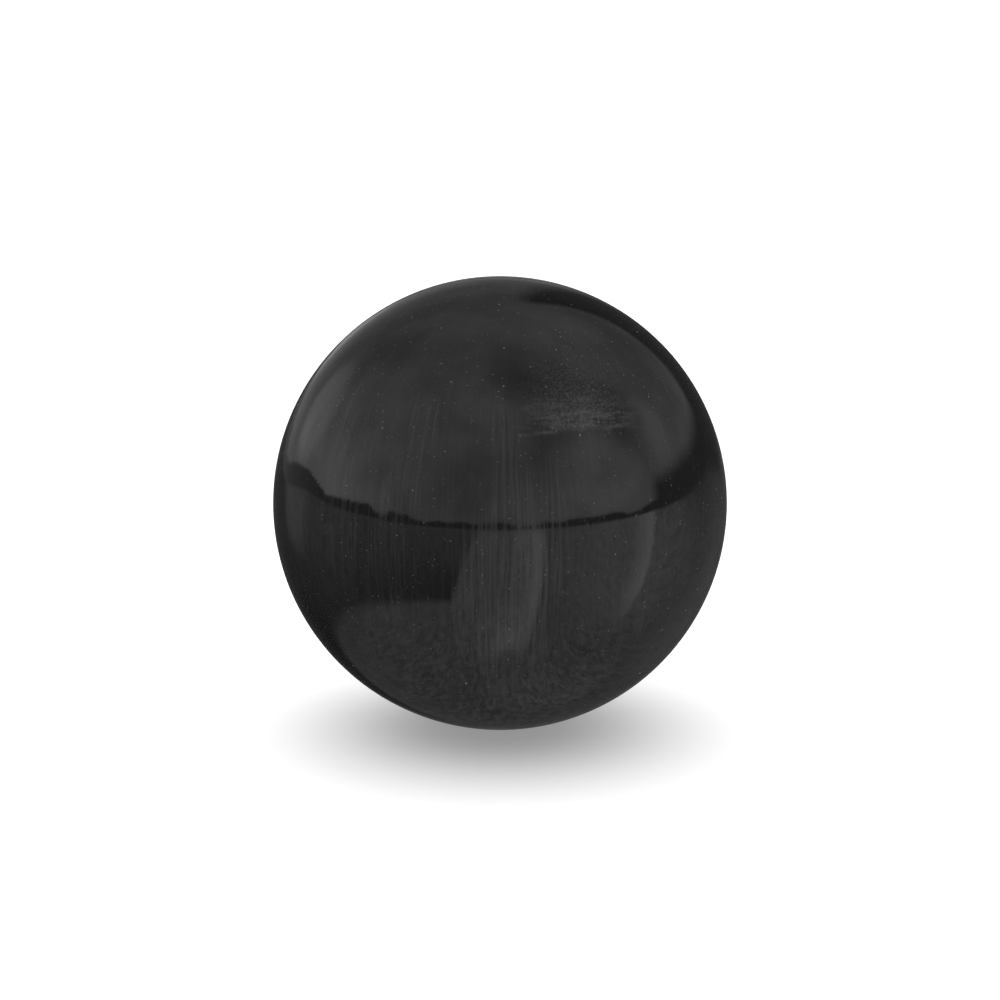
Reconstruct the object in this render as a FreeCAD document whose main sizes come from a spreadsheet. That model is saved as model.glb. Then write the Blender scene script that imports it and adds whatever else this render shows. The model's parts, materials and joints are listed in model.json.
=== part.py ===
import FreeCAD, Part
import math
import os
from types import SimpleNamespace

import Sketcher

# Case opening friction ball: a hollow ball of tacky black rubber. It is pressed on the screwed back of a
# watch case and twisted, and its grip turns the back without a key or a scratch. Two moulded half shells
# meet in a bevelled, cemented seam. The rear half carries a self-sealing valve for an inflating needle.
#
# Frame: the origin is the ball's centre and +Z is up. The valve's axis is +Y, out of its mouth at the back
# of the ball, and the seam lies about the XZ plane. Every piece is turned about the Y axis, so each is
# drawn as a half section, with sketch x as the distance from that axis and sketch y along it. All sizes
# are in millimetres.

DIMENSIONS = {
    # the ball
    "ball_radius": 32.5,
    "wall": 4.5,
    # the seam between the half shells: a bevelled butt joint, filled with rubber cement
    "seam_film": 0.15,  # cement thickness, measured along the axis
    "bevel_rise": 1.6,  # how far the joint climbs across the wall
    "seam_recess": 0.08,  # the cement stops this far below the ball's surface
    "bead_spread": 0.9,  # squeezed-out cement inside the ball, to each side of the joint
    "bead_height": 0.5,
    "shown_edge": 0.12,  # rounding of the edges that show on the ball's surface
    # the valve base: a neck through the wall, a flange cemented inside it and a barrel
    "neck_radius": 4.5,
    "valve_film": 0.15,
    "valve_recess": 0.1,  # the valve's outer faces lie this far below the ball's surface
    "flange_radius": 10.0,
    "flange_rim": 0.8,
    "root_width": 1.4,
    "root_depth": 1.2,
    "barrel_radius": 4.3,
    "barrel_end_radius": 3.9,
    "base_length": 14.0,
    # the valve core: a soft plug that snaps into the base
    "head_radius": 3.2,
    "head_depth": 1.6,
    "stem_radius": 2.3,
    "bulb_radius": 2.9,
    "bulb_length": 2.4,
    "bulb_slope": 0.6,
    "bulb_depth": 10.4,  # from the ball's surface to the bulb's middle
    "core_length": 15.2,
    "core_tip_radius": 1.5,
    "core_taper": 1.4,
    # the needle's way through the core
    "mouth_radius": 1.5,
    "mouth_depth": 0.9,
    "needle_radius": 0.9,
    "channel_depth": 9.2,
    "slit_gap": 0.1,
    "slit_width": 1.6,
}
SHEET = "Dimensions"
START, END, MIDDLE = 1, 2, 3  # how a sketch numbers the points of an edge
CENTRE_POINT = (-1, START)  # a sketch's own origin, as a geometry number and a point of it
AXIS_LINE = -2  # a sketch's own vertical axis
SAME = 1e-3  # two lengths closer than this are the same


class Size:
    """A length with the sheet formula that it comes from, which ties what is drawn with it to the sheet."""

    def __init__(self, value, formula):
        self.value = value
        self.formula = formula

    def __add__(self, other):
        return Size(self.value + other.value, f"({self.formula} + {other.formula})")

    def __sub__(self, other):
        return Size(self.value - other.value, f"({self.formula} - {other.formula})")

    def __truediv__(self, divisor):
        return Size(self.value / divisor, f"({self.formula} / {divisor})")

    def __neg__(self):
        return Size(-self.value, f"(-{self.formula})")


ZERO = Size(0.0, "0")
PAST = Size(1.0, "1.0")  # how far a cutting outline runs past the solid it cuts


def write_sheet(doc):
    """Puts each driving dimension in column B under its own alias, and returns them as sizes by name."""
    sheet = doc.addObject("Spreadsheet::Sheet", SHEET)
    for row, (name, value) in enumerate(DIMENSIONS.items(), start=1):
        sheet.set(f"A{row}", name)
        sheet.set(f"B{row}", str(value))
        sheet.setAlias(f"B{row}", name)
    doc.recompute()
    sizes_by_name = {name: Size(float(sheet.get(name)), f"{SHEET}.{name}") for name in DIMENSIONS}
    return SimpleNamespace(**sizes_by_name)


def new_body(doc, label):
    body = doc.addObject("PartDesign::Body", label)
    body.Label = label
    body.Placement = FreeCAD.Placement()
    return body


def new_sketch(body, name):
    """A sketch on the body's own XY plane, where the Y axis is the axis that everything is turned about."""
    sketch = body.newObject("Sketcher::SketchObject", name)
    plane = next(feature for feature in body.Origin.OriginFeatures if feature.Role == "XY_Plane")
    sketch.AttachmentSupport = [(plane, "")]
    sketch.MapMode = "FlatFace"
    return sketch


def dimension(sketch, name, kind, *target, size):
    """Adds a dimension to the sketch, bound to the sheet. A coordinate of zero lies on the axis instead."""
    if size is ZERO and kind == "DistanceX":
        sketch.addConstraint(Sketcher.Constraint("PointOnObject", *target[-2:], AXIS_LINE))
        return
    index = sketch.addConstraint(Sketcher.Constraint(kind, *target, size.value))
    sketch.renameConstraint(index, name)
    sketch.setExpression(f"Constraints.{name}", size.formula)


def place(x, y, sphere=None):
    """The point at x and y. One of them may be None: it then follows from the sphere that holds the point."""
    if x is None:
        return FreeCAD.Vector(math.sqrt(sphere.value**2 - y.value**2), y.value, 0)
    if y is None:
        return FreeCAD.Vector(x.value, math.sqrt(sphere.value**2 - x.value**2), 0)
    return FreeCAD.Vector(x.value, y.value, 0)


def draw_outline(sketch, corners, arcs=None):
    """Draws a closed outline through the corners, each a pair of sizes, and fixes it to the sheet.

    Edge i runs from corner i to the next one. It is straight, unless arcs holds a radius for it: then it is
    an arc about the ball's centre, and each of its two corners states one coordinate and leaves the other
    as None.
    """
    arcs = arcs or {}
    count = len(corners)
    spheres = [arcs.get(i) or arcs.get((i - 1) % count) for i in range(count)]
    places = [place(x, y, sphere) for (x, y), sphere in zip(corners, spheres)]
    starts = []  # which point of each edge is the corner that it runs from: an arc always turns one way
    for i in range(count):
        a, b = places[i], places[(i + 1) % count]
        if i in arcs:
            circle = Part.Circle(FreeCAD.Vector(), FreeCAD.Vector(0, 0, 1), arcs[i].value)
            angles = [math.atan2(p.y, p.x) for p in (a, b)]
            sketch.addGeometry(Part.ArcOfCircle(circle, min(angles), max(angles)))
            starts.append(START if angles[0] < angles[1] else END)
        else:
            sketch.addGeometry(Part.LineSegment(a, b))
            starts.append(START)
    for i in range(count):
        following = (i + 1) % count
        end = END if starts[i] == START else START
        sketch.addConstraint(Sketcher.Constraint("Coincident", i, end, following, starts[following]))
    for i, radius in arcs.items():
        sketch.addConstraint(Sketcher.Constraint("Coincident", i, MIDDLE, *CENTRE_POINT))
        dimension(sketch, f"radius_{i}", "Radius", i, size=radius)
    for i, (x, y) in enumerate(corners):
        if x is not None:
            dimension(sketch, f"x_{i}", "DistanceX", *CENTRE_POINT, i, starts[i], size=x)
        if y is not None:
            dimension(sketch, f"y_{i}", "DistanceY", *CENTRE_POINT, i, starts[i], size=y)


def turned(body, name, corners, arcs=None, cut=False):
    """Turns an outline about the Y axis, as material or, with cut, out of the body's solid."""
    sketch = new_sketch(body, f"{name}_section")
    draw_outline(sketch, corners, arcs)
    kind = "PartDesign::Groove" if cut else "PartDesign::Revolution"
    feature = body.newObject(kind, name)
    feature.Profile = sketch
    feature.ReferenceAxis = (sketch, ["V_Axis"])
    feature.Angle = 360
    body.Document.recompute()
    return feature


def ring_at(feature, x, y, sphere=None):
    """The names of the feature's circular edges that are turned about the Y axis from the point x, y."""
    point = place(x, y, sphere)
    axis_point = FreeCAD.Vector(0, point.y, 0)
    names = []
    for i, edge in enumerate(feature.Shape.Edges, start=1):
        if edge.Degenerated or not isinstance(edge.Curve, Part.Circle):
            continue
        ring = edge.Curve
        if abs(ring.Radius - point.x) < SAME and ring.Center.distanceToPoint(axis_point) < SAME:
            names.append(f"Edge{i}")
    if not names:
        raise ValueError(f"{feature.Name} has no ring through {point}")
    return names


def rounded(body, name, base, edges, radius):
    """Rounds edges of the body's last feature by one radius."""
    fillet = body.newObject("PartDesign::Fillet", name)
    fillet.Base = (base, edges)
    fillet.setExpression("Radius", radius.formula)
    body.Document.recompute()
    return fillet


def half_shell(body, s, rise, hole_radius):
    """One half of the ball with its pole at +Y. The joint climbs by rise from the surface to the inside."""
    rim = s.seam_film / 2
    inner_radius = s.ball_radius - s.wall
    outline = [(hole_radius, None), (None, rim), (None, rim + rise), (hole_radius, None)]
    shell = turned(body, "shell", outline, {0: s.ball_radius, 2: inner_radius})
    edges = ring_at(shell, None, rim, s.ball_radius)
    if hole_radius is not ZERO:
        edges += ring_at(shell, hole_radius, None, s.ball_radius)
    rounded(body, "shown_edges", shell, edges, s.shown_edge)


def front_half_shell(doc, s):
    """The plain half. It is turned to face -Y, and the inside of its rim stands proud of the outside."""
    body = new_body(doc, "front_half_shell")
    half_shell(body, s, -s.bevel_rise, ZERO)
    body.Placement.Rotation = FreeCAD.Rotation(FreeCAD.Vector(0, 0, 1), 180)
    return body


def rear_half_shell(doc, s):
    """The half with the hole that the valve's neck fills."""
    body = new_body(doc, "rear_half_shell")
    half_shell(body, s, s.bevel_rise, s.neck_radius + s.valve_film)
    return body


def seam_cement(doc, s):
    """The cured cement: a film between the bevelled rims and a squeezed-out bead inside the wall."""
    body = new_body(doc, "seam_cement")
    inner_radius = s.ball_radius - s.wall
    bead_radius = inner_radius - s.bead_height
    front, rear = -s.seam_film / 2, s.seam_film / 2
    front_inner, rear_inner = front + s.bevel_rise, rear + s.bevel_rise
    outline = [
        (None, front),
        (None, front_inner),
        (None, front_inner - s.bead_spread),
        (None, front_inner - s.bead_spread / 2),
        (None, rear_inner + s.bead_spread / 2),
        (None, rear_inner + s.bead_spread),
        (None, rear_inner),
        (None, rear),
    ]
    arcs = {1: inner_radius, 3: bead_radius, 5: inner_radius, 7: s.ball_radius}
    turned(body, "film_and_bead", outline, arcs)
    floor, outside = s.ball_radius - s.seam_recess, s.ball_radius + PAST
    turned(body, "recess", [(floor, -PAST), (outside, -PAST), (outside, PAST), (floor, PAST)], cut=True)
    return body


def snap(s):
    """Where the core's bulb sits in the base, as corners going down from the stem and back to it."""
    middle = s.ball_radius - s.bulb_depth
    top, bottom = middle + s.bulb_length / 2, middle - s.bulb_length / 2
    return [
        (s.stem_radius, top + s.bulb_slope),
        (s.bulb_radius, top),
        (s.bulb_radius, bottom),
        (s.stem_radius, bottom - s.bulb_slope),
    ]


def valve_base(doc, s):
    """The valve's body: a neck in the shell's hole, a flange bonded inside the wall, and a barrel."""
    body = new_body(doc, "valve_base")
    face = s.ball_radius - s.valve_recess
    bond = s.ball_radius - s.wall - s.valve_film
    flange_back = bond - s.flange_rim
    end = s.ball_radius - s.base_length
    seat = s.ball_radius - s.head_depth
    outline = [
        (s.head_radius, None),
        (s.neck_radius, None),
        (s.neck_radius, None),
        (s.flange_radius, None),
        (s.flange_radius, None),
        (s.barrel_radius + s.root_width, None),
        (s.barrel_radius, flange_back - s.root_depth),
        (s.barrel_end_radius, end),
        (s.stem_radius, end),
        *reversed(snap(s)),
        (s.stem_radius, seat),
        (s.head_radius, seat),
    ]
    base = turned(body, "base", outline, {0: face, 2: bond, 4: flange_back})
    shown = ring_at(base, s.head_radius, None, face) + ring_at(base, s.neck_radius, None, face)
    softened = rounded(body, "shown_edges", base, shown, s.shown_edge)
    hidden = ring_at(softened, s.flange_radius, None, flange_back)
    hidden += ring_at(softened, s.barrel_end_radius, end)
    rounded(body, "moulded_edges", softened, hidden, s.flange_rim / 2)
    return body


def valve_cement(doc, s):
    """The cement under the valve's flange and round its neck."""
    body = new_body(doc, "valve_cement")
    inner_radius = s.ball_radius - s.wall
    hole_radius = s.neck_radius + s.valve_film
    outline = [
        (s.neck_radius, None),
        (hole_radius, None),
        (hole_radius, None),
        (s.flange_radius, None),
        (s.flange_radius, None),
        (s.neck_radius, None),
    ]
    top = s.ball_radius - s.valve_recess - s.shown_edge
    turned(body, "film", outline, {0: top, 2: inner_radius, 4: inner_radius - s.valve_film})
    return body


def valve_core(doc, s):
    """The soft plug that the needle goes through. The base squeezes it, and that closes its slit."""
    body = new_body(doc, "valve_core")
    face = s.ball_radius - s.valve_recess
    seat = s.ball_radius - s.head_depth
    tip = s.ball_radius - s.core_length
    outline = [
        (ZERO, None),
        (s.head_radius, None),
        (s.head_radius, seat),
        (s.stem_radius, seat),
        *snap(s),
        (s.stem_radius, tip + s.core_taper),
        (s.core_tip_radius, tip),
        (ZERO, tip),
    ]
    plug = turned(body, "plug", outline, {0: face})
    shown = ring_at(plug, s.head_radius, None, face)
    rounded(body, "shown_edge", plug, shown, s.shown_edge)
    bottom = s.ball_radius - s.channel_depth
    channel = [
        (ZERO, s.ball_radius),
        (s.mouth_radius, s.ball_radius),
        (s.needle_radius, s.ball_radius - s.mouth_depth),
        (s.needle_radius, bottom),
        (ZERO, bottom),
    ]
    turned(body, "needle_channel", channel, cut=True)
    cut_slit(body, s, bottom, tip)
    return body


def cut_slit(body, s, bottom, tip):
    """The slit in the core's tip that the needle opens, from the channel's bottom out through the tip."""
    half = s.slit_gap / 2
    above, below = bottom + PAST, tip - PAST
    sketch = new_sketch(body, "slit_section")
    draw_outline(sketch, [(-half, above), (-half, below), (half, below), (half, above)])
    slit = body.newObject("PartDesign::Pocket", "slit")
    slit.Profile = sketch
    slit.Midplane = True
    slit.setExpression("Length", s.slit_width.formula)
    body.Document.recompute()


def check_and_export(doc, bodies):
    """Stops on any failed object or bad solid, then writes one STEP file for each body."""
    for item in doc.Objects:
        if {"Invalid", "Error"} & set(item.State):
            raise RuntimeError(f"{item.Name} failed: {item.State}")
        if item.isDerivedFrom("Sketcher::SketchObject") and not item.FullyConstrained:
            raise RuntimeError(f"sketch {item.Name} is not fixed to the sheet")
    for body in bodies:
        if body.Shape.isNull() or not body.Shape.isValid() or len(body.Shape.Solids) != 1:
            raise RuntimeError(f"{body.Label} is not one valid solid")
    os.makedirs("parts", exist_ok=True)
    for body in bodies:
        body.Shape.exportStep(f"parts/{body.Label}.step")
        print(f"{body.Label}: {body.Shape.Volume:.1f} mm3")


document = FreeCAD.newDocument("friction_ball")
sizes = write_sheet(document)
pieces = (front_half_shell, rear_half_shell, seam_cement, valve_base, valve_cement, valve_core)
made = [piece(document, sizes) for piece in pieces]
document.recompute()
check_and_export(document, made)
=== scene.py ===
import json
import math
from collections import namedtuple

import bmesh
import bpy
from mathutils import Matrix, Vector, noise


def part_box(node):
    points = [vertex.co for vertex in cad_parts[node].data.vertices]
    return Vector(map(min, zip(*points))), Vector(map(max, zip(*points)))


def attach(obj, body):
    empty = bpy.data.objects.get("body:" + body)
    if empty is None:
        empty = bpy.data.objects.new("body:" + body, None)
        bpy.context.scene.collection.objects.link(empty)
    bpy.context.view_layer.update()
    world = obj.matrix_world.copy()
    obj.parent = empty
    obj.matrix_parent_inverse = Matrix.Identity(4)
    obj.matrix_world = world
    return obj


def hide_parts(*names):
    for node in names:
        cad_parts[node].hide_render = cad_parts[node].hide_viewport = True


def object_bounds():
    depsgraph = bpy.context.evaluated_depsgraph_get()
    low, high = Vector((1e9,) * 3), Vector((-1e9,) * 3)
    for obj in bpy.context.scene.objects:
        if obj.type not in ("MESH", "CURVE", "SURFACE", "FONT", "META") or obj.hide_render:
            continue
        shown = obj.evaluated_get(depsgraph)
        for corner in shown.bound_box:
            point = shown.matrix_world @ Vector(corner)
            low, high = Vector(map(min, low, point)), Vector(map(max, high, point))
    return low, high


# The looks of the case opening friction ball. Each CAD node is replaced by a finer mesh of the same size,
# turned about the ball's Y axis from rings of quads, with its moulded edges rounded. Lengths are in metres,
# and in millimetres within the materials.

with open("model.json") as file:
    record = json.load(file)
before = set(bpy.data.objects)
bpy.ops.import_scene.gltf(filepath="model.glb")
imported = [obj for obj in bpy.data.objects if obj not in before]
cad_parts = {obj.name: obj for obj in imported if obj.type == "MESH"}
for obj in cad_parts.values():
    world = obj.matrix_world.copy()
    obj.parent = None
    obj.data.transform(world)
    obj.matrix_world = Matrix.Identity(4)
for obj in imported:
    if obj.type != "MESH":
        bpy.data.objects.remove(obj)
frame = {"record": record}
cad_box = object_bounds()
MM = 0.001

# Sizes that the frame gives
BALL_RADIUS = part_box("front_half_shell")[1].x
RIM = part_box("rear_half_shell")[0].y  # half the seam's cement film
BEVEL_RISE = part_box("front_half_shell")[1].y + RIM  # the joint climbs this far towards +Y across the wall
SEAM_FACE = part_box("seam_cement")[1].x
FLANGE_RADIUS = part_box("valve_base")[1].x
BASE_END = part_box("valve_base")[0].y
HEAD_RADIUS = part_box("valve_core")[1].x
CORE_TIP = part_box("valve_core")[0].y
needle_port = next(mount for mount in frame["record"]["mounts"] if mount["name"] == "needle_port")
NEEDLE_RADIUS = needle_port["dims"]["r_mm"] * MM
CHANNEL_HALF = needle_port["dims"]["length_mm"] * MM / 2
CHANNEL_TOP = needle_port["pos_m"][1] + CHANNEL_HALF
CHANNEL_BOTTOM = needle_port["pos_m"][1] - CHANNEL_HALF

# Sizes inside the CAD nodes
INNER_RADIUS = BALL_RADIUS - 4.5 * MM
BEAD_SPREAD = 0.9 * MM
BEAD_FACE = INNER_RADIUS - 0.5 * MM
BEAD_EVEN = 0.1 * MM  # the bead is lumpy where it is thicker than this
BEAD_UNEVEN = 0.5  # how much its thickness varies
BEAD_LUMPS = 4 * MM
VALVE_FACE = BALL_RADIUS - 0.1 * MM
VALVE_FILM = 0.15 * MM
NECK_RADIUS = 4.5 * MM
HOLE_RADIUS = NECK_RADIUS + VALVE_FILM
BOND = INNER_RADIUS - VALVE_FILM
FLANGE_BACK = BOND - 0.8 * MM
ROOT_RADIUS = 5.7 * MM
BARREL_RADIUS = 4.3 * MM
BARREL_ROOT = FLANGE_BACK - 1.2 * MM
BARREL_END_RADIUS = 3.9 * MM
SEAT = BALL_RADIUS - 1.6 * MM
STEM_RADIUS = 2.3 * MM
BULB_RADIUS = 2.9 * MM
BULB_MIDDLE = BALL_RADIUS - 10.4 * MM
BULB_HALF = 1.2 * MM
BULB_SLOPE = 0.6 * MM
FUNNEL_RADIUS = 1.43 * MM
TIP_RADIUS = 1.5 * MM
TIP_TAPER = 1.4 * MM
SLIT_HALF_GAP = 0.05 * MM
SLIT_HALF_WIDTH = 0.8 * MM

# Roundings of corners, as the length that a rounding takes from each side
SHOWN_EDGE = 0.12 * MM
FINE_EDGE = 0.1 * MM
MOULDED_EDGE = 0.3 * MM
ROOT_EDGE = 0.5 * MM

# Mesh density
BALL_SIDES = 192  # quads round the ball
VALVE_SIDES = 96
BALL_STEP = 1.1 * MM  # the longest quad along an outline
VALVE_STEP = 0.5 * MM
EDGE_STEPS = 5  # quads across a rounded corner
CAP_ANGLE = math.radians(44)  # a dome's cap reaches this far from its pole
CAP_SPREAD = math.radians(22)  # the grid in a cap's middle, of the 45 degrees that would fill the cap
FIRST_CORNER = math.radians(-135)  # a ring starts here, level with a corner of the grid within it
SLIT_SHARES = (0.0, 0.3, 0.65)  # rings between the slit and the circle round it
SHARP = math.radians(40)


# ---------------------------------------------------------------- outlines

def at(radius, height, rounding=0.0):
    """A point of an outline: its distance from the Y axis, its height along it and its corner's rounding."""
    return Vector((radius, height)), rounding


def on_sphere(sphere, radius=None, height=None, angle=None, rounding=0.0):
    """A sphere's point, given by its radius from the Y axis, its height along it or its angle from +Y."""
    if radius is not None:
        angle = math.asin(radius / sphere)
    elif height is not None:
        angle = math.acos(height / sphere)
    return at(sphere * math.sin(angle), sphere * math.cos(angle), rounding)


def arc(start, end, step):
    """An outline's points from one point of a sphere to another, with both, at most step apart."""
    sphere = start[0].length
    first, last = (math.atan2(point.x, point.y) for point, _ in (start, end))
    count = max(2, math.ceil(abs(last - first) * sphere / step))
    between = [on_sphere(sphere, angle=first + (last - first) * i / count) for i in range(1, count)]
    return [start, *between, end]


def softened(outline):
    """The outline's points, with each rounded corner drawn as a curve. An open outline's ends stay sharp."""
    count = len(outline)
    points = []
    for i, (corner, rounding) in enumerate(outline):
        if not rounding:
            points.append(corner)
            continue
        before = (outline[i - 1][0] - corner).normalized() * rounding
        after = (outline[(i + 1) % count][0] - corner).normalized() * rounding
        for step in range(EDGE_STEPS + 1):
            t = step / EDGE_STEPS
            points.append(corner + before * (1 - t) ** 2 + after * t**2)
    return points


def stepped(points, closed, step):
    """The points with more between them, so that none are further apart than step."""
    following = points[1:] + points[:1] if closed else points[1:]
    filled = []
    for a, b in zip(points, following):
        count = max(1, math.ceil((b - a).length / step))
        filled += [a.lerp(b, i / count) for i in range(count)]
    return filled if closed else filled + [points[-1]]


# ---------------------------------------------------------------- meshes

def ring_angles(sides):
    """The directions of a ring's points round the Y axis, from a corner of a square within the ring."""
    return [FIRST_CORNER + math.tau * i / sides for i in range(sides)]


def square_walk(cells):
    """The steps of a walk round a square grid's edge, as many to a side as there are cells."""
    there = range(cells)
    back = range(cells, 0, -1)
    walk = [(i, 0) for i in there] + [(cells, j) for j in there]
    return walk + [(i, cells) for i in back] + [(0, j) for j in back]


def ring(mesh, point, sides, facing=1):
    """A ring of vertices round the Y axis through an outline's point, mirrored to -Y if facing is -1."""
    radius, height = point
    places = [(radius * math.cos(a), facing * height, radius * math.sin(a)) for a in ring_angles(sides)]
    return [mesh.verts.new(place) for place in places]


def bridge(mesh, rings):
    """Joins each ring to the next with quads."""
    for first, second in zip(rings, rings[1:]):
        count = len(first)
        for i in range(count):
            j = (i + 1) % count
            mesh.faces.new((first[i], first[j], second[j], second[i]))


def turned(outline, sides, step, facing=1, closed=True):
    """A mesh with the outline turned about the Y axis, and its rings from first to last."""
    mesh = bmesh.new()
    points = stepped(softened(outline), closed, step)
    rings = [ring(mesh, point, sides, facing) for point in points]
    bridge(mesh, rings + rings[:1] if closed else rings)
    return mesh, rings


def close_dome(mesh, rim, sphere, facing):
    """Closes a ring on a sphere with quads only: a rounded square grid at the pole, and rings out from it."""
    sides = len(rim)
    cells = sides // 4

    def place(x, y):
        """The place on the sphere of a point of the unit disc, whose edge is the ring."""
        reach = math.hypot(x, y)
        angle = CAP_ANGLE * reach
        out = sphere * math.sin(angle) / reach if reach else 0.0
        return x * out, facing * sphere * math.cos(angle), y * out

    def grid_point(i, j):
        """A grid point's place in the unit disc. The grid's sides bulge, so its cells stay nearly square."""
        u = CAP_SPREAD * (2 * i / cells - 1)
        v = CAP_SPREAD * (2 * j / cells - 1)
        return math.sqrt(2) * math.sin(u) * math.cos(v), math.sqrt(2) * math.sin(v) * math.cos(u)

    lines = range(cells + 1)
    grid = [[mesh.verts.new(place(*grid_point(i, j))) for j in lines] for i in lines]
    for i in range(cells):
        for j in range(cells):
            mesh.faces.new((grid[i][j], grid[i + 1][j], grid[i + 1][j + 1], grid[i][j + 1]))
    walk = square_walk(cells)
    edge = [Vector(grid_point(i, j)) for i, j in walk]
    circle = [Vector((math.cos(a), math.sin(a))) for a in ring_angles(sides)]
    rings = [[grid[i][j] for i, j in walk]]
    count = cells // 2  # the steps from the grid's edge to the rim
    for step in range(1, count):
        t = step / count
        rings.append([mesh.verts.new(place(*a.lerp(b, t))) for a, b in zip(edge, circle)])
    bridge(mesh, rings + [rim])


def finished(name, mesh, material, node):
    """Makes a piece from a mesh, smooth but for its sharp corners, and lets it stand for its CAD node."""
    bmesh.ops.recalc_face_normals(mesh, faces=mesh.faces)
    data = bpy.data.meshes.new(name)
    mesh.to_mesh(data)
    mesh.free()
    data.shade_smooth()
    data.set_sharp_from_angle(angle=SHARP)
    data.materials.append(material)
    piece = bpy.data.objects.new(name, data)
    bpy.context.scene.collection.objects.link(piece)
    piece.modifiers.new("even_shading", "WEIGHTED_NORMAL").keep_sharp = True
    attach(piece, "root")
    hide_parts(node)


# ---------------------------------------------------------------- pieces

def front_shell(material):
    """The plain half of the ball, whose pole is at -Y. The inside of its rim stands proud of the outside."""
    outer_pole = on_sphere(BALL_RADIUS, angle=CAP_ANGLE)
    inner_pole = on_sphere(INNER_RADIUS, angle=CAP_ANGLE)
    outer_rim = on_sphere(BALL_RADIUS, height=RIM, rounding=SHOWN_EDGE)
    inner_rim = on_sphere(INNER_RADIUS, height=RIM - BEVEL_RISE, rounding=FINE_EDGE)
    outline = arc(outer_pole, outer_rim, BALL_STEP) + arc(inner_rim, inner_pole, BALL_STEP)
    mesh, rings = turned(outline, BALL_SIDES, BALL_STEP, facing=-1, closed=False)
    close_dome(mesh, rings[0], BALL_RADIUS, -1)
    close_dome(mesh, rings[-1], INNER_RADIUS, -1)
    finished("front_shell", mesh, material, "front_half_shell")


def rear_shell(material):
    """The half with the hole that the valve's neck fills."""
    outer_hole = on_sphere(BALL_RADIUS, radius=HOLE_RADIUS, rounding=SHOWN_EDGE)
    outer_rim = on_sphere(BALL_RADIUS, height=RIM, rounding=SHOWN_EDGE)
    inner_rim = on_sphere(INNER_RADIUS, height=RIM + BEVEL_RISE, rounding=FINE_EDGE)
    inner_hole = on_sphere(INNER_RADIUS, radius=HOLE_RADIUS, rounding=FINE_EDGE)
    outline = arc(outer_hole, outer_rim, BALL_STEP) + arc(inner_rim, inner_hole, BALL_STEP)
    mesh, _ = turned(outline, BALL_SIDES, BALL_STEP)
    finished("rear_shell", mesh, material, "rear_half_shell")


def seam_bond(material):
    """The cement in the seam, with the uneven bead that it squeezes out to inside the ball."""
    front, rear = BEVEL_RISE - RIM, BEVEL_RISE + RIM
    outline = [
        on_sphere(SEAM_FACE, height=-RIM),
        on_sphere(INNER_RADIUS, height=front),
        on_sphere(INNER_RADIUS, height=front - BEAD_SPREAD),
        on_sphere(BEAD_FACE, height=front - BEAD_SPREAD / 2, rounding=MOULDED_EDGE),
        on_sphere(BEAD_FACE, height=rear + BEAD_SPREAD / 2, rounding=MOULDED_EDGE),
        on_sphere(INNER_RADIUS, height=rear + BEAD_SPREAD),
        on_sphere(INNER_RADIUS, height=rear),
        on_sphere(SEAM_FACE, height=RIM),
    ]
    mesh, _ = turned(outline, BALL_SIDES, BALL_STEP)
    for vertex in mesh.verts:
        depth = INNER_RADIUS - vertex.co.length
        if depth > BEAD_EVEN:
            lump = BEAD_UNEVEN * noise.noise(vertex.co / BEAD_LUMPS)
            vertex.co *= 1 + lump * depth / INNER_RADIUS
    finished("seam_bond", mesh, material, "seam_cement")


def snap():
    """The core's bulb, and the hollow in the base that holds it, as points down from the stem and back."""
    top, bottom = BULB_MIDDLE + BULB_HALF, BULB_MIDDLE - BULB_HALF
    return [
        at(STEM_RADIUS, top + BULB_SLOPE, MOULDED_EDGE),
        at(BULB_RADIUS, top, MOULDED_EDGE),
        at(BULB_RADIUS, bottom, MOULDED_EDGE),
        at(STEM_RADIUS, bottom - BULB_SLOPE, MOULDED_EDGE),
    ]


def valve_body(material):
    """The valve's base: its neck, its flange inside the wall and its barrel."""
    head_edge = on_sphere(VALVE_FACE, radius=HEAD_RADIUS, rounding=SHOWN_EDGE)
    neck_edge = on_sphere(VALVE_FACE, radius=NECK_RADIUS, rounding=SHOWN_EDGE)
    flange_in = on_sphere(BOND, radius=NECK_RADIUS, rounding=FINE_EDGE)
    flange_out = on_sphere(BOND, radius=FLANGE_RADIUS, rounding=MOULDED_EDGE)
    flange_back_out = on_sphere(FLANGE_BACK, radius=FLANGE_RADIUS, rounding=MOULDED_EDGE)
    flange_back_in = on_sphere(FLANGE_BACK, radius=ROOT_RADIUS, rounding=ROOT_EDGE)
    outline = [
        head_edge,
        neck_edge,
        *arc(flange_in, flange_out, VALVE_STEP),
        *arc(flange_back_out, flange_back_in, VALVE_STEP),
        at(BARREL_RADIUS, BARREL_ROOT, ROOT_EDGE),
        at(BARREL_END_RADIUS, BASE_END, ROOT_EDGE),
        at(STEM_RADIUS, BASE_END, MOULDED_EDGE),
        *reversed(snap()),
        at(STEM_RADIUS, SEAT, FINE_EDGE),
        at(HEAD_RADIUS, SEAT, FINE_EDGE),
    ]
    mesh, _ = turned(outline, VALVE_SIDES, VALVE_STEP)
    finished("valve_body", mesh, material, "valve_base")


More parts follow.
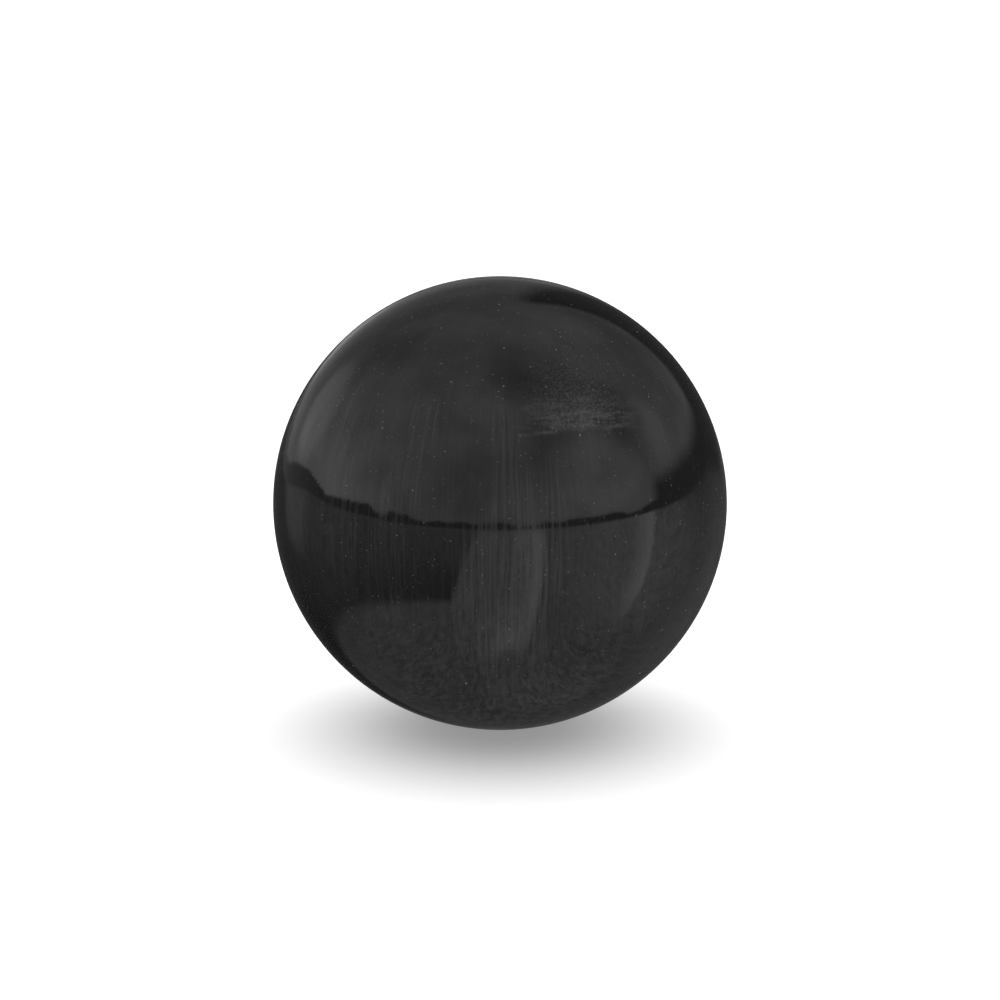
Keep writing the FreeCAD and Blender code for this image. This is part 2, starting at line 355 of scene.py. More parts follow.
def valve_bond(material):
    """The cement round the valve's neck and under its flange."""
    top = VALVE_FACE - SHOWN_EDGE
    wall_side = [on_sphere(INNER_RADIUS, radius=radius) for radius in (HOLE_RADIUS, FLANGE_RADIUS)]
    flange_side = [on_sphere(BOND, radius=radius) for radius in (FLANGE_RADIUS, NECK_RADIUS)]
    outline = [
        on_sphere(top, radius=NECK_RADIUS),
        on_sphere(top, radius=HOLE_RADIUS),
        *arc(*wall_side, VALVE_STEP),
        *arc(*flange_side, VALVE_STEP),
    ]
    mesh, _ = turned(outline, VALVE_SIDES, VALVE_STEP)
    finished("valve_bond", mesh, material, "valve_cement")


def slit_ring(mesh, height, sides, circle_radius, share):
    """A ring of vertices between the slit's edge, at a share of 0, and a circle round it, at 1."""
    cells = sides // 4
    vertices = []
    for (i, j), angle in zip(square_walk(cells), ring_angles(sides)):
        slit = Vector((SLIT_HALF_GAP * (2 * i / cells - 1), height, SLIT_HALF_WIDTH * (2 * j / cells - 1)))
        circle = Vector((circle_radius * math.cos(angle), height, circle_radius * math.sin(angle)))
        vertices.append(mesh.verts.new(slit.lerp(circle, share)))
    return vertices


def valve_plug(material):
    """The valve's soft core, with the needle's funnel and channel and the slit in its tip."""
    floor_radius = NEEDLE_RADIUS - 2 * FINE_EDGE
    end_radius = TIP_RADIUS - 2 * MOULDED_EDGE
    mouth = on_sphere(VALVE_FACE, radius=FUNNEL_RADIUS, rounding=SHOWN_EDGE)
    outline = [
        at(floor_radius, CHANNEL_BOTTOM),
        at(NEEDLE_RADIUS, CHANNEL_BOTTOM, FINE_EDGE),
        at(NEEDLE_RADIUS, CHANNEL_TOP, FINE_EDGE),
        *arc(mouth, on_sphere(VALVE_FACE, radius=HEAD_RADIUS, rounding=SHOWN_EDGE), VALVE_STEP),
        at(HEAD_RADIUS, SEAT, FINE_EDGE),
        at(STEM_RADIUS, SEAT, FINE_EDGE),
        *snap(),
        at(STEM_RADIUS, CORE_TIP + TIP_TAPER, MOULDED_EDGE),
        at(TIP_RADIUS, CORE_TIP, MOULDED_EDGE),
        at(end_radius, CORE_TIP),
    ]
    mesh, rings = turned(outline, VALVE_SIDES, VALVE_STEP, closed=False)
    inside = [slit_ring(mesh, CHANNEL_BOTTOM, VALVE_SIDES, floor_radius, share) for share in SLIT_SHARES]
    outside = [slit_ring(mesh, CORE_TIP, VALVE_SIDES, end_radius, share) for share in SLIT_SHARES]
    bridge(mesh, [*inside, rings[0]])
    bridge(mesh, [rings[-1], *reversed(outside), inside[0]])
    finished("valve_plug", mesh, material, "valve_core")


# ---------------------------------------------------------------- materials

# Places and sizes in the materials are in millimetres. A name that ends in FADE is a pair of values: where
# something begins to show and where it is full.
RADIUS = BALL_RADIUS / MM
SKIN_FADE = (RADIUS - 2.0, RADIUS - 1.0)  # the glossy outside, as a distance from the ball's middle
NOISE_RANGE = (0.3, 0.7)  # noise mostly lies between these
SPECK_CORE = 0.4  # the share of a speck's radius that has its full strength

# Tones, as shares of light scattered: the ball's rubber, what each kind of mark adds to it, and the rest
RUBBER_TONE = 0.0034
WIPED_TONE = 0.0018
SCUFFED_TONE = 0.006
SPECKLED_TONE = 0.027
WISPY_TONE = 0.024
BUFFED_TONE = 0.004
SMEARED_TONE = 0.005
DIRT_TONE = 0.28
TALC_TONES = (0.02, 0.12)
VALVE_TONES = (0.014, 0.026)
VALVE_RUBBED_TONE = 0.03
CEMENT_TONES = (0.012, 0.045)

# Roughness, from the untouched gloss to the dirt that is stuck to it
GLOSSY = 0.045
RUBBED = 0.16
BUFFED = 0.24
SMEARED = 0.42
TALCED = 0.75
DIRTY = 0.8
VALVE_ROUGHNESSES = (0.32, 0.48)
VALVE_RUBBED_ROUGHER = 0.2
CEMENT_ROUGHNESSES = (0.65, 0.4)
PLAIN_GLOSS = 0.5  # how strongly the surface mirrors, where 0.5 is plain rubber
WIPED_GLOSS = 0.70

# The height of each material's relief, and how much each thing adds to the ball's
BALL_RELIEF = 0.05
VALVE_RELIEF = 0.015
CEMENT_RELIEF = 0.08
SWELL_SHARE = 0.12
DIRT_SHARE = 0.8
BUFFED_SHARE = 0.05
SMEAR_SHARE = 0.4


class Graph:
    """A node tree, with short ways to add nodes and to join them."""

    def __init__(self, tree):
        self.tree = tree
        tree.nodes.clear()

    def node(self, kind, inputs=None, **settings):
        """Adds a node. inputs maps its input names or numbers to values or to other nodes' outputs."""
        node = self.tree.nodes.new(f"ShaderNode{kind}")
        for name, setting in settings.items():
            setattr(node, name, setting)
        for name, value in (inputs or {}).items():
            if isinstance(value, bpy.types.NodeSocket):
                self.tree.links.new(value, node.inputs[name])
            else:
                node.inputs[name].default_value = value
        return node

    def math(self, operation, *values):
        return self.node("Math", dict(enumerate(values)), operation=operation).outputs[0]

    def vector(self, operation, *values):
        node = self.node("VectorMath", dict(enumerate(values)), operation=operation)
        return node.outputs["Value" if operation in ("DOT_PRODUCT", "LENGTH") else "Vector"]

    def scale(self, vector, factor):
        node = self.node("VectorMath", {0: vector, "Scale": factor}, operation="SCALE")
        return node.outputs["Vector"]

    def parts(self, vector):
        """A vector's three parts."""
        return self.node("SeparateXYZ", {0: vector}).outputs[:]

    def join(self, x, y, z):
        return self.node("CombineXYZ", {0: x, 1: y, 2: z}).outputs[0]

    def chain(self, operation, values):
        total = values[0]
        for value in values[1:]:
            total = self.math(operation, total, value)
        return total

    def product(self, *values):
        return self.chain("MULTIPLY", values)

    def sum(self, *values):
        return self.chain("ADD", values)

    def most(self, *values):
        return self.chain("MAXIMUM", values)

    def weighted(self, *pairs):
        """The sum of values, each given with its weight."""
        return self.sum(*[self.product(value, weight) for value, weight in pairs])

    def less(self, value, other):
        return self.math("SUBTRACT", value, other)

    def unsigned(self, value):
        """A number without its sign."""
        return self.math("ABSOLUTE", value)

    def mix(self, share, a, b):
        """The number a where share is 0 and b where it is 1."""
        return self.node("Mix", {0: share, 2: a, 3: b}).outputs[0]

    def fade(self, value, start, end, low=0.0, high=1.0):
        """Goes smoothly from low, where value is start, to high, where it is end."""
        inputs = {"Value": value, "From Min": start, "From Max": end, "To Min": low, "To Max": high}
        return self.node("MapRange", inputs, interpolation_type="SMOOTHSTEP").outputs[0]

    def band(self, value, low, high, soft):
        """1 between low and high, and 0 outside, with edges as wide as soft."""
        rise = self.fade(value, low - soft / 2, low + soft / 2)
        return self.product(rise, self.fade(value, high + soft / 2, high - soft / 2))

    def noise(self, place, size, detail=2.0, roughness=0.5):
        """Noise from about 0 to 1 with features of about this size."""
        inputs = {"Vector": place, "Scale": 1 / size, "Detail": detail, "Roughness": roughness}
        return self.node("TexNoise", inputs).outputs[0]

    def patches(self, place, size, start, full, detail=2.0, roughness=0.5):
        """Patches of noise: 0 where the noise is under start, and 1 where it is over full."""
        return self.fade(self.noise(place, size, detail, roughness), start, full)

    def uneven(self, place, size, low, high, detail, roughness):
        """A value that wanders from low to high over the place."""
        return self.fade(self.noise(place, size, detail, roughness), *NOISE_RANGE, low, high)

    def specks(self, place, spacing, radius, faintness):
        """Specks of different strengths, up to 1. The higher the faintness, the fewer are strong."""
        node = self.node("TexVoronoi", {"Vector": place, "Scale": 1 / spacing})
        dot = self.fade(node.outputs["Distance"], radius / spacing, SPECK_CORE * radius / spacing)
        strength = self.math("POWER", self.parts(node.outputs["Color"])[0], faintness)
        return self.product(dot, strength)


def new_material(name):
    """A node material and its graph."""
    material = bpy.data.materials.new(name)
    material.use_nodes = True
    return material, Graph(material.node_tree)


def surface(graph, tone, roughness, height, relief, gloss=PLAIN_GLOSS):
    """Ends a material's graph: a grey tone, a roughness, and a height of 0 to 1 that is worth the relief."""
    grey = graph.node("CombineColor", {0: tone, 1: tone, 2: tone}).outputs[0]
    bump = graph.node("Bump", {"Height": height, "Distance": relief * MM}).outputs[0]
    inputs = {"Base Color": grey, "Roughness": roughness, "Normal": bump, "Specular IOR Level": gloss}
    shader = graph.node("BsdfPrincipled", inputs).outputs[0]
    graph.node("OutputMaterial", {"Surface": shader})


def place_in_mm(graph):
    """A point's place in the object's frame, in millimetres."""
    return graph.scale(graph.node("TexCoord").outputs["Object"], 1 / MM)


def from_valve_axis(graph, place):
    """A point's distance from the Y axis."""
    x, _, z = graph.parts(place)
    return graph.vector("LENGTH", graph.join(x, 0.0, z))


MERIDIAN_FLATNESS = 0.04


def meridian_lines(graph, place):
    """The place with its height pressed nearly flat, which draws out a pattern into lines up the ball."""
    x, y, z = graph.parts(place)
    level = graph.scale(graph.vector("NORMALIZE", graph.join(x, y, 0.0)), RADIUS)
    return graph.vector("ADD", level, graph.join(0.0, 0.0, graph.product(z, MERIDIAN_FLATNESS)))


WIPING_WIDTH = 0.36
WIPING_FADE = (0.36, 0.66)
WIPING_PATCH = 12.0
PATCH_STRETCH = (1.0, 1.0, 0.5)
PATCH_SHIFT = (31.0, 17.0, 5.0)  # which part of the noise the patches are taken from
PATCH_FRAYING = 0.4  # how much the lines fray the patches' edges
PATCH_FADE = (0.76, 0.94)
FAINTLY_WIPED = 0.22  # how strong the marks are where the ball has hardly been wiped
WIPED_MIDDLE = Vector((0.06, -0.97, -0.24)) * RADIUS
WIPED_STRETCH = (1.0, 1.0, 0.55)
WIPED_FADE = (11.0, 4.0)
WIPED_STRENGTH = 0.30
TRAIL_MIDDLE = 0.8
TRAIL_FADE = (3.6, 0.8)
TRAIL_STRENGTH = 0.15
FRONT_FADE = (-6.0, -10.0)
POLE_FADE = (0.95 * RADIUS, 0.6 * RADIUS)


def wiping_marks(graph, place, lines):
    """Fine marks that run up and down: ragged patches, a wiped area low on the front and a trail above it."""
    x, y, z = graph.parts(place)
    fine = graph.noise(lines, WIPING_WIDTH, detail=2.0, roughness=0.6)
    drawn_out = graph.vector("MULTIPLY_ADD", place, PATCH_STRETCH, PATCH_SHIFT)
    ragged = graph.sum(graph.noise(drawn_out, WIPING_PATCH, detail=1.0), graph.product(fine, PATCH_FRAYING))
    offset = graph.vector("MULTIPLY", graph.vector("SUBTRACT", place, WIPED_MIDDLE), WIPED_STRETCH)
    wiped = graph.fade(graph.vector("LENGTH", offset), *WIPED_FADE, high=WIPED_STRENGTH)
    from_trail = graph.unsigned(graph.less(x, TRAIL_MIDDLE))
    along_trail = graph.fade(from_trail, *TRAIL_FADE, high=TRAIL_STRENGTH)
    trail = graph.product(along_trail, graph.fade(y, *FRONT_FADE))
    area = graph.fade(graph.sum(ragged, graph.most(wiped, trail)), *PATCH_FADE, low=FAINTLY_WIPED)
    return graph.product(graph.fade(fine, *WIPING_FADE), area, graph.fade(graph.unsigned(z), *POLE_FADE))


THUMB_MIDDLE = Vector((0.32, -0.745, 0.585)).normalized() * RADIUS
THUMB_FADE = (18.0, 14.0)
FOOT_FADE = (-4.6, -3.8)
WAVER_SIZE = 2.5
WAVER = 5.0  # how far the patch's edges wander aside
WAVER_UPWARD = 0.4  # the share of that by which they wander up and down
SPECKLE_SIZE = 0.33
SPECKLE_FADE = (0.42, 0.66)
SPECKLE_RISE_FADE = (11.5, -2.5)
SPECKLE_ASIDE_FADE = (9.0, 2.0)
WISP_SIZE = 0.8
WISP_STRETCH = (0.25, 0.25, 1.3)
WISP_FADE = (0.36, 0.68)
WISP_RISE_FADE = (2.5, -2.5)
WISP_ASIDE_FADE = (10.5, 5.0)


def thumbed_patch(graph, place):
    """A patch at the upper right of the front that a thumb has rubbed: speckle, and wisps along its foot."""
    across = Vector((0.0, 0.0, 1.0)).cross(THUMB_MIDDLE).normalized()
    upward = THUMB_MIDDLE.cross(across).normalized()
    offset = graph.vector("SUBTRACT", place, THUMB_MIDDLE)
    waver = graph.product(graph.less(graph.noise(place, WAVER_SIZE, detail=3.0), 0.5), WAVER)
    aside = graph.unsigned(graph.sum(graph.vector("DOT_PRODUCT", offset, across), waver))
    rise = graph.sum(graph.vector("DOT_PRODUCT", offset, upward), graph.product(waver, WAVER_UPWARD))
    above_foot = graph.fade(rise, *FOOT_FADE)
    this_side = graph.fade(graph.vector("LENGTH", offset), *THUMB_FADE)
    speckle = graph.product(
        graph.patches(place, SPECKLE_SIZE, *SPECKLE_FADE, detail=2.0, roughness=0.75),
        graph.fade(rise, *SPECKLE_RISE_FADE),
        graph.fade(aside, *SPECKLE_ASIDE_FADE),
        above_foot,
        this_side,
    )
    drawn_out = graph.vector("MULTIPLY", place, WISP_STRETCH)
    wisps = graph.product(
        graph.patches(drawn_out, WISP_SIZE, *WISP_FADE, detail=3.0, roughness=0.65),
        graph.fade(rise, *WISP_RISE_FADE),
        graph.fade(aside, *WISP_ASIDE_FADE),
        above_foot,
        this_side,
    )
    return speckle, wisps


BUFF_STRETCH = (0.05, 1.0, 0.05)
BUFF_WIDTH = 0.14
BUFF_LINE_FADE = (0.35, 0.65)
BUFF_FAINTEST = 0.3
BUFF_EDGE_SIZE = 5.0
BUFF_EDGE_WANDER = 1.6
BUFF_FADE = (2.4, 1.2)
SMEAR_EDGE_SIZE = 0.9
SMEAR_EDGE_WANDER = 2.6
SMEAR_FADE = (7.0, 6.2)
REAR_FADE = (0.0, 1.0)


def joint_marks(graph, place):
    """Where the joints were dressed: a buffed band along the seam, and a smear of cement round the valve."""
    y = graph.parts(place)[1]
    along_seam = graph.vector("MULTIPLY", place, BUFF_STRETCH)
    fine = graph.noise(along_seam, BUFF_WIDTH, detail=3.0, roughness=0.6)
    lines = graph.fade(fine, *BUFF_LINE_FADE, low=BUFF_FAINTEST)
    wander = graph.product(graph.noise(place, BUFF_EDGE_SIZE, detail=1.0), BUFF_EDGE_WANDER)
    buffed = graph.product(graph.fade(graph.sum(graph.unsigned(y), wander), *BUFF_FADE), lines)
    wander = graph.product(graph.noise(place, SMEAR_EDGE_SIZE, detail=3.0, roughness=0.6), SMEAR_EDGE_WANDER)
    ragged = graph.sum(from_valve_axis(graph, place), wander)
    smear = graph.product(graph.fade(ragged, *SMEAR_FADE), graph.fade(y, *REAR_FADE))
    return buffed, smear


# Each kind of dirt's spacing, the radius of its specks and their faintness
DUST = (0.7, 0.15, 2.6)
CRUMBS = (4.0, 0.21, 3.0)
LINT = (6.5, 0.14, 2.0)
DUST_STRENGTH = 0.44
DUST_LINE_WIDTH = 1.6
DUST_LINE_FADE = (0.58, 0.68)
DUST_BETWEEN_LINES = 0.45
LINT_STRETCH = (1.0, 1.0, 0.2)
WARP_SIZE = 0.25
WARP = (0.25, 0.25, 0.25)  # how far the specks' outlines are bent


def stuck_dirt(graph, place, lines):
    """What sticks to the tacky skin: dust, most of it along some lines, a few crumbs and short lint."""
    warp = graph.node("TexNoise", {"Vector": place, "Scale": 1 / WARP_SIZE}).outputs["Color"]
    warped = graph.vector("MULTIPLY_ADD", warp, WARP, place)
    line = graph.noise(lines, DUST_LINE_WIDTH, detail=0.0)
    dusty_lines = graph.fade(line, *DUST_LINE_FADE, low=DUST_BETWEEN_LINES)
    dust = graph.product(graph.specks(warped, *DUST), dusty_lines, DUST_STRENGTH)
    crumbs = graph.specks(warped, *CRUMBS)
    lint = graph.specks(graph.vector("MULTIPLY", warped, LINT_STRETCH), *LINT)
    return graph.most(dust, crumbs, lint)


GRAIN_SIZE = 0.4
GRAIN_FADE = (0.48, 0.66)
SCUFF_SIZE = 12.0
SCUFF_FADE = (0.58, 0.74)
TALC_SIZE = 2.0
TALC_FADE = (0.3, 0.8)
SWELL_SIZE = 3.5


def tacky_rubber():
    """Black rubber: outside a mirror gloss with wiping marks and stuck dust, and inside matt and talced."""
    material, graph = new_material("tacky_rubber")
    place = place_in_mm(graph)
    lines = meridian_lines(graph, place)
    marks = wiping_marks(graph, place, lines)
    grain = graph.patches(place, GRAIN_SIZE, *GRAIN_FADE, detail=2.0, roughness=0.7)
    scuffed = graph.patches(place, SCUFF_SIZE, *SCUFF_FADE, detail=3.0, roughness=0.55)
    scuffs = graph.product(scuffed, grain)
    speckle, wisps = thumbed_patch(graph, place)
    buffed, smear = joint_marks(graph, place)
    dirt = stuck_dirt(graph, place, lines)
    outside = graph.fade(graph.vector("LENGTH", place), *SKIN_FADE)

    haze = graph.weighted(
        (marks, WIPED_TONE),
        (scuffs, SCUFFED_TONE),
        (speckle, SPECKLED_TONE),
        (wisps, WISPY_TONE),
        (buffed, BUFFED_TONE),
        (smear, SMEARED_TONE),
    )
    talc = graph.fade(graph.noise(place, TALC_SIZE, detail=4.0), *TALC_FADE, *TALC_TONES)
    tone = graph.mix(outside, talc, graph.mix(dirt, graph.sum(haze, RUBBER_TONE), DIRT_TONE))
    roughness = graph.mix(graph.most(marks, scuffs, speckle, wisps), GLOSSY, RUBBED)
    for share, dulled in ((buffed, BUFFED), (smear, SMEARED), (dirt, DIRTY)):
        roughness = graph.mix(share, roughness, dulled)
    roughness = graph.mix(outside, TALCED, roughness)
    gloss = graph.mix(marks, PLAIN_GLOSS, WIPED_GLOSS)
    swell = graph.noise(place, SWELL_SIZE, detail=1.0)
    height = graph.weighted(
        (swell, SWELL_SHARE),
        (dirt, DIRT_SHARE),
        (buffed, BUFFED_SHARE),
        (smear, SMEAR_SHARE),
    )
    surface(graph, tone, roughness, height, BALL_RELIEF, gloss)
    return material


RUBBED_FADE = (3.0, 1.2)
RUBBED_SIZE = 0.4
RUBBED_PATCH_FADE = (0.35, 0.7)
VALVE_MOTTLE = 1.2
VALVE_MOTTLE_FADE = (0.3, 0.75)
VALVE_DUST = (1.6, 0.14, 1.0)
VALVE_GRAIN = 0.25


def valve_rubber():
    """Softer rubber with a satin face, rubbed round the needle's funnel."""
    material, graph = new_material("valve_rubber")
    place = place_in_mm(graph)
    near_funnel = graph.fade(from_valve_axis(graph, place), *RUBBED_FADE)
    rubbed = graph.product(near_funnel, graph.patches(place, RUBBED_SIZE, *RUBBED_PATCH_FADE, detail=3.0))
    mottle = graph.noise(place, VALVE_MOTTLE, detail=4.0, roughness=0.6)
    dust = graph.specks(place, *VALVE_DUST)
    plain_tone = graph.fade(mottle, *VALVE_MOTTLE_FADE, *VALVE_TONES)
    tone = graph.mix(dust, graph.sum(plain_tone, graph.product(rubbed, VALVE_RUBBED_TONE)), DIRT_TONE)
    plain_roughness = graph.fade(mottle, *NOISE_RANGE, *VALVE_ROUGHNESSES)
    roughness = graph.sum(plain_roughness, graph.product(rubbed, VALVE_RUBBED_ROUGHER))
    height = graph.sum(graph.noise(place, VALVE_GRAIN, detail=3.0), dust)
    surface(graph, tone, roughness, height, VALVE_RELIEF)
    return material


CEMENT_LUMP = 0.8


def rubber_cement():
    """Dried rubber cement: dark, dull and a little lumpy."""
    material, graph = new_material("rubber_cement")
    lumps = graph.noise(place_in_mm(graph), CEMENT_LUMP, detail=4.0, roughness=0.6)
    tone = graph.fade(lumps, *NOISE_RANGE, *CEMENT_TONES)
    roughness = graph.fade(lumps, *NOISE_RANGE, *CEMENT_ROUGHNESSES)
    surface(graph, tone, roughness, lumps, CEMENT_RELIEF)
    return material


# ---------------------------------------------------------------- studio

# The studio turns with the camera. A direction in it has parts to the camera's right, ahead of it and up. Its
# bearing is in degrees from straight behind the camera, more to the right, and its height in degrees above
# level. Tones are shares of white.
Gaze = namedtuple("Gaze", "direction right ahead bearing height")

# A light adds its strength to the tone within its core, an angle in degrees from its middle, and nothing
# beyond its reach. It is a shade where its strength is negative.
Light = namedtuple("Light", "strength bearing height core reach")


def studio_gaze(graph):
    """A ray's direction as the studio sees it."""
    ray = graph.node("TexCoord").outputs["Generated"]
    to_camera = {"vector_type": "VECTOR", "convert_from": "WORLD", "convert_to": "CAMERA"}
    seen = graph.node("VectorTransform", {0: ray}, **to_camera).outputs[0]
    world_up = graph.node("VectorTransform", {0: (0.0, 0.0, 1.0)}, **to_camera).outputs[0]
    level_ahead = graph.vector("CROSS_PRODUCT", (1.0, 0.0, 0.0), world_up)
    right = graph.parts(seen)[0]
    ahead = graph.vector("DOT_PRODUCT", seen, level_ahead)
    up = graph.parts(ray)[2]
    bearing = graph.math("DEGREES", graph.math("ARCTAN2", right, graph.product(ahead, -1.0)))
    height = graph.math("DEGREES", graph.math("ARCSINE", up))
    return Gaze(graph.join(right, ahead, up), right, ahead, bearing, height)


def lit(graph, gaze, tone, lights):
    """The tone with soft lights on it."""
    for light in lights:
        turn, rise = math.radians(light.bearing), math.radians(light.height)
        middle = (math.sin(turn) * math.cos(rise), -math.cos(turn) * math.cos(rise), math.sin(rise))
        alignment = graph.vector("DOT_PRODUCT", gaze.direction, middle)
        edge, core = math.cos(math.radians(light.reach)), math.cos(math.radians(light.core))
        tone = graph.sum(tone, graph.product(graph.fade(alignment, edge, core), light.strength))
    return tone


BACKDROP_TONES = (0.54, 0.16)  # level with the camera, and straight ahead of it
LOW_BACKDROP_FADE = (28.0, 0.0)
LOW_BACKDROP_LIGHT = 0.12
BACKDROP_LIGHTS = (
    Light(0.20, bearing=-85, height=24, core=5, reach=48),
    Light(0.12, bearing=-25, height=56, core=8, reach=30),
    Light(0.28, bearing=52, height=20, core=5, reach=30),
    Light(0.12, bearing=97, height=27, core=3, reach=14),
    Light(0.40, bearing=-127, height=17, core=0, reach=16),
    Light(0.22, bearing=-166, height=3, core=2, reach=8),
    Light(0.10, bearing=135, height=68, core=5, reach=30),
    Light(-0.12, bearing=-112, height=42, core=4, reach=26),
    Light(-0.24, bearing=60, height=74, core=2, reach=24),
    Light(-0.16, bearing=80, height=40, core=3, reach=20),
)
CLOUD_SIZE = 0.4
CLOUD_SHARES = (0.82, 1.18)


def backdrop(graph, gaze):
    """The upper half of the studio: pale behind the camera, grey ahead of it, and faintly clouded."""
    tone = graph.sum(
        graph.fade(gaze.ahead, 0.0, 1.0, *BACKDROP_TONES),
        graph.fade(gaze.height, *LOW_BACKDROP_FADE, high=LOW_BACKDROP_LIGHT),
    )
    clouds = graph.uneven(gaze.direction, CLOUD_SIZE, *CLOUD_SHARES, detail=4.0, roughness=0.55)
    return graph.product(lit(graph, gaze, tone, BACKDROP_LIGHTS), clouds)


GROUND_FADE = (-0.6, 0.9)
GROUND_TONES = (0.50, 0.09)  # behind the camera, and ahead of it
GROUND_LIGHTS = (
    Light(0.20, bearing=70, height=-10, core=5, reach=50),
    Light(0.06, bearing=128, height=-25, core=5, reach=30),
    Light(0.07, bearing=125, height=-72, core=4, reach=22),
)
DIM_FADE = (-40.0, -78.0)
DIM_SHARE = 0.92  # the tone's share that is left at the ball's foot
EDGE_BEARING = -9.7  # where the dark flag meets the card, at level
EDGE_SLOPE = 0.45
EDGE_SOFT = 1.5
FLAG_HEIGHTS = (-37.0, -1.0)
FLAG_SOFT = 5.0
FLAG_END_FADE = (-180.0, -166.0)
FLAG_TONE_FADE = (-150.0, -80.0)
FLAG_TONES = (0.04, 0.215)
FLAG_LIFT_FADE = (-35.0, -3.0)
FLAG_LIFTS = (0.78, 1.6)  # how much its tone is multiplied, at its foot and at its top
FLAG_LIGHT = Light(0.12, bearing=-124, height=-5, core=3, reach=16)
CARD_END_FADE = (23.0, 20.5)
CARD_FOOT_FADE = (-76.0, -58.0)
CARD_FADE = (2.0, 20.0)
CARD_TONES = (0.60, 1.0)
LOW_CARD_FADE = (-14.0, 2.0)
LOW_CARD_TONES = (0.54, 0.80)
LOWER_FADE = (-30.0, -60.0)
BRUSHED_STRETCH = (1.0, 0.16, 0.25)
BRUSHED_SIZE = 0.016
BRUSHED_SHARES = (0.80, 1.20)
BRUSHED_FADE = (-35.0, -65.0)
BRUSHED_POWER = 2.3  # how much stronger the brushing is at the ball's foot
STRIP_SIDE_FADE = (66.0, 80.0)
STRIP_END_FADE = (83.0, 80.5)
STRIP_FOOT_FADE = (-47.0, -27.0)
STRIP_TONE = 1.05


def ground(graph, gaze):
    """The lower half: brushed grey ground, a dark flag, a card of light beside it and a narrow strip."""
    tone = lit(graph, gaze, graph.fade(gaze.ahead, *GROUND_FADE, *GROUND_TONES), GROUND_LIGHTS)
    tone = graph.product(tone, graph.fade(gaze.height, *DIM_FADE, 1.0, DIM_SHARE))

    edge = graph.sum(graph.product(gaze.height, EDGE_SLOPE), EDGE_BEARING)
    past_edge = graph.less(gaze.bearing, edge)
    flag = graph.product(
        graph.band(gaze.height, *FLAG_HEIGHTS, FLAG_SOFT),
        graph.fade(past_edge, EDGE_SOFT, -EDGE_SOFT),
        graph.fade(gaze.bearing, *FLAG_END_FADE),
    )
    flag_tone = graph.product(
        graph.fade(gaze.bearing, *FLAG_TONE_FADE, *FLAG_TONES),
        graph.fade(gaze.height, *FLAG_LIFT_FADE, *FLAG_LIFTS),
    )
    tone = graph.mix(flag, tone, lit(graph, gaze, flag_tone, [FLAG_LIGHT]))

    card = graph.product(
        graph.fade(past_edge, -EDGE_SOFT, EDGE_SOFT),
        graph.fade(gaze.bearing, *CARD_END_FADE),
        graph.fade(gaze.height, *CARD_FOOT_FADE),
    )
    card_tone = graph.mix(
        graph.fade(gaze.height, *LOWER_FADE),
        graph.fade(gaze.bearing, *CARD_FADE, *CARD_TONES),
        graph.fade(gaze.bearing, *LOW_CARD_FADE, *LOW_CARD_TONES),
    )
    tone = graph.mix(card, tone, card_tone)

    brushed = graph.vector("MULTIPLY", gaze.direction, BRUSHED_STRETCH)
    mottle = graph.uneven(brushed, BRUSHED_SIZE, *BRUSHED_SHARES, detail=3.0, roughness=0.75)
    power = graph.fade(gaze.height, *BRUSHED_FADE, 1.0, BRUSHED_POWER)
    tone = graph.product(tone, graph.math("POWER", mottle, power))
    strip = graph.product(
        graph.fade(gaze.bearing, *STRIP_SIDE_FADE),
        graph.fade(gaze.bearing, *STRIP_END_FADE),
        graph.fade(gaze.height, *STRIP_FOOT_FADE),
    )
    return graph.mix(strip, tone, STRIP_TONE)


DARK = 0.15
HORIZON_SOFT = 0.5
DIP_BEARINGS = (-155.0, -125.0)
DIP_SOFT = 30.0
DIP = 4.0  # how far the horizon sinks there
LINE_BUMPS = 0.3
LINE_NOISE_RANGE = (0.35, 0.65)
LINE_TOPS = (0.6, 2.4)
LINE_TOP_SOFT = 0.6
LINE_FOOT_FADE = (-1.5, -0.7)
THICK_BEARINGS = (-160.0, -45.0)
THICK_SOFT = 40.0
THICKENING = 1.9
SIDE_FLAG_BEARINGS = (84.0, 173.0)
SIDE_FLAG_SOFT = 8.0
SIDE_FLAG_TOP_FADE = (138.0, 170.0)
SIDE_FLAG_TOPS = (9.0, 44.0)
SIDE_FLAG_FOOT_FADE = (130.0, 152.0)
SIDE_FLAG_FEET = (-1.0, -6.5)
SIDE_FLAG_ABOVE_FADE = (5.0, -3.0)
SIDE_FLAG_BELOW_FADE = (-2.0, 2.0)
SIDE_FLAG_TONE_FADE = (84.0, 150.0)
SIDE_FLAG_TONES = (DARK, 0.05)


